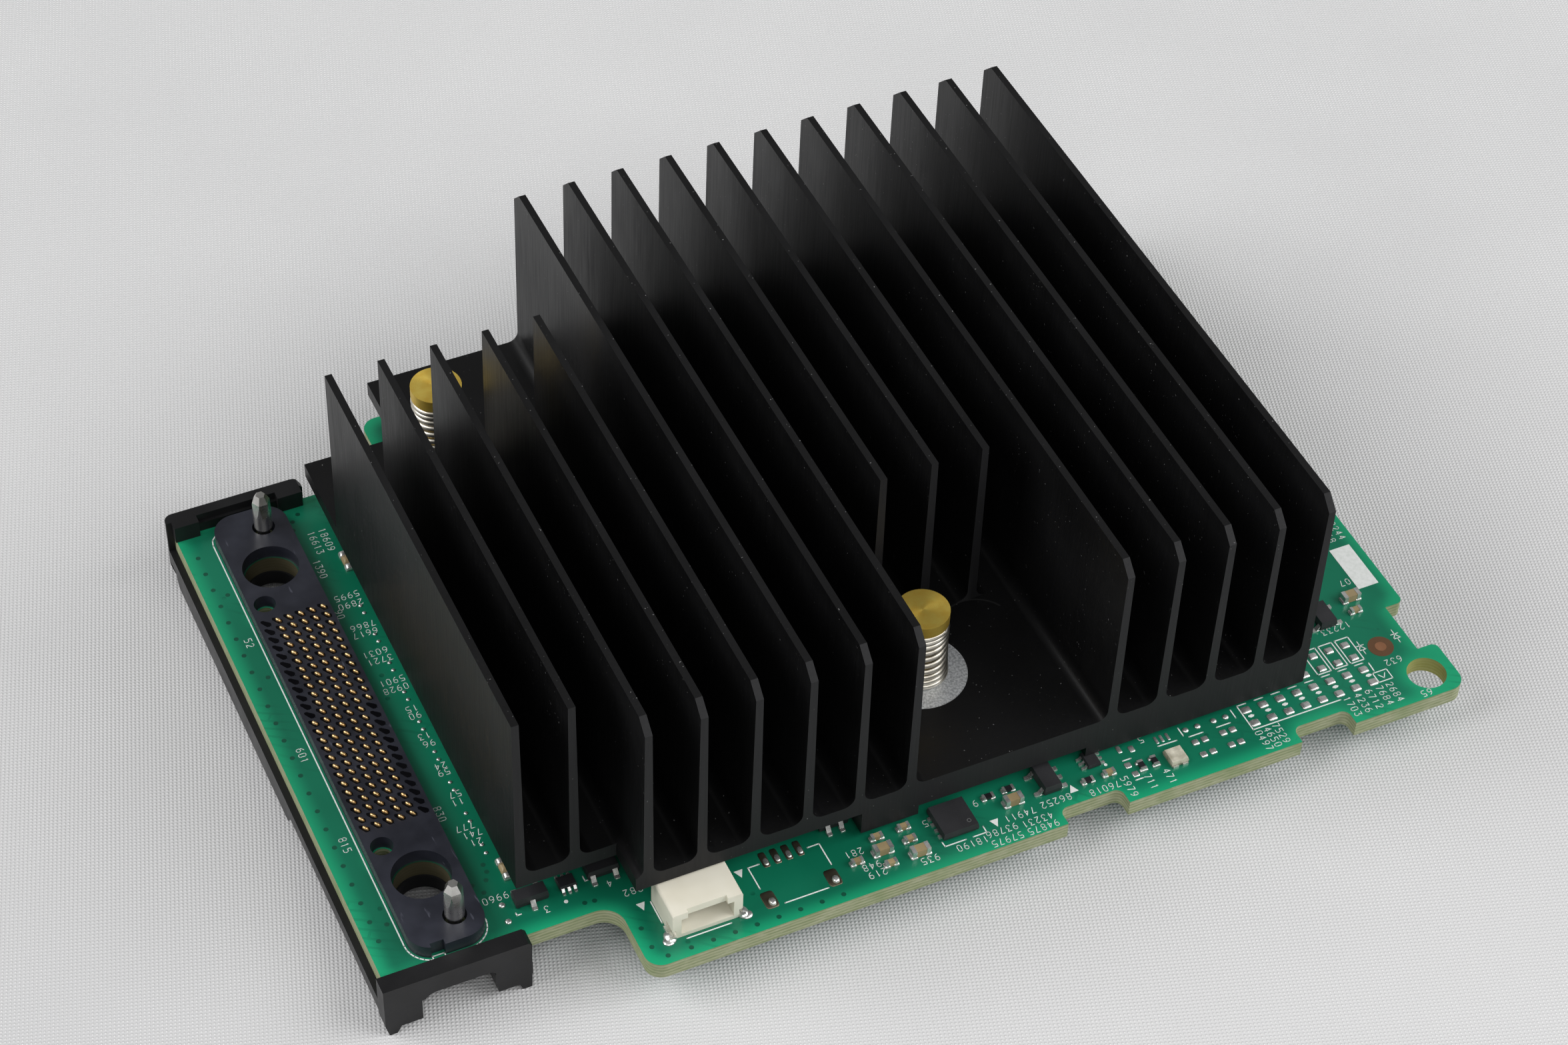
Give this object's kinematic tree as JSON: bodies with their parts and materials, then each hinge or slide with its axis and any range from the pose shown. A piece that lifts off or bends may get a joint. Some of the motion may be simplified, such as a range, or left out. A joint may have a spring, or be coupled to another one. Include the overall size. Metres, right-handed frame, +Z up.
{
  "type": "raid controller card",
  "caption": "Small storage controller card with a finned heat sink held by spring screws, and a compression connector in a moulded bracket.",
  "frame": {"origin": "centre of the bounding box in plan, on the surface that the bracket's feet stand on", "axes": "+X along the board from the connector end to the end with the ear, +Y across the board from the edge with the small parts, +Z up through the heat sink's fins"},
  "size_m": [0.0948, 0.066, 0.0269],
  "materials": {
    "solder_mask": "glossy green solder mask over laminate",
    "black_anodised": "satin black anodised",
    "brass": "turned, slightly tarnished",
    "spring_steel": "drawn wire",
    "clip_steel": "stamped",
    "connector_resin": "moulded, lightly scratched",
    "gold_plate": "gold plated",
    "pin_steel": "ground and polished",
    "bracket_resin": "moulded",
    "cream_resin": "moulded",
    "tin_plate": "tin plated",
    "solder": "dull solder",
    "chip_laminate": "dark green laminate",
    "lid_nickel": "nickel plated",
    "thermal_pad": "soft grey",
    "chip_resin": "moulded epoxy",
    "led_resin": "cream resin",
    "capacitor_ceramic": "tan ceramic",
    "resistor_glaze": "black glaze"
  },
  "bodies": {
    "root": {"circuit_board": "solder_mask", "heat_sink": "black_anodised", "spring_screws": "brass", "screw_springs": "spring_steel", "screw_retainers": "clip_steel", "connector_housing": "connector_resin", "connector_contacts": "gold_plate", "guide_pins": "pin_steel", "carrier_bracket": "bracket_resin", "lower_connector_housing": "connector_resin", "lower_connector_contacts": "gold_plate", "cable_connector_housing": "cream_resin", "cable_connector_pins": "tin_plate", "cable_connector_tabs": "tin_plate", "controller_solder_field": "solder", "controller_substrate": "chip_laminate", "controller_lid": "lid_nickel", "thermal_pad": "thermal_pad", "chip_bodies": "chip_resin", "chip_leads": "tin_plate", "power_switch_body": "chip_resin", "power_switch_leads": "tin_plate", "status_led_body": "led_resin", "status_led_terminals": "tin_plate", "capacitor_bodies": "capacitor_ceramic", "capacitor_terminals": "tin_plate", "resistor_bodies": "resistor_glaze", "resistor_terminals": "tin_plate"}
  },
  "joints": []
}
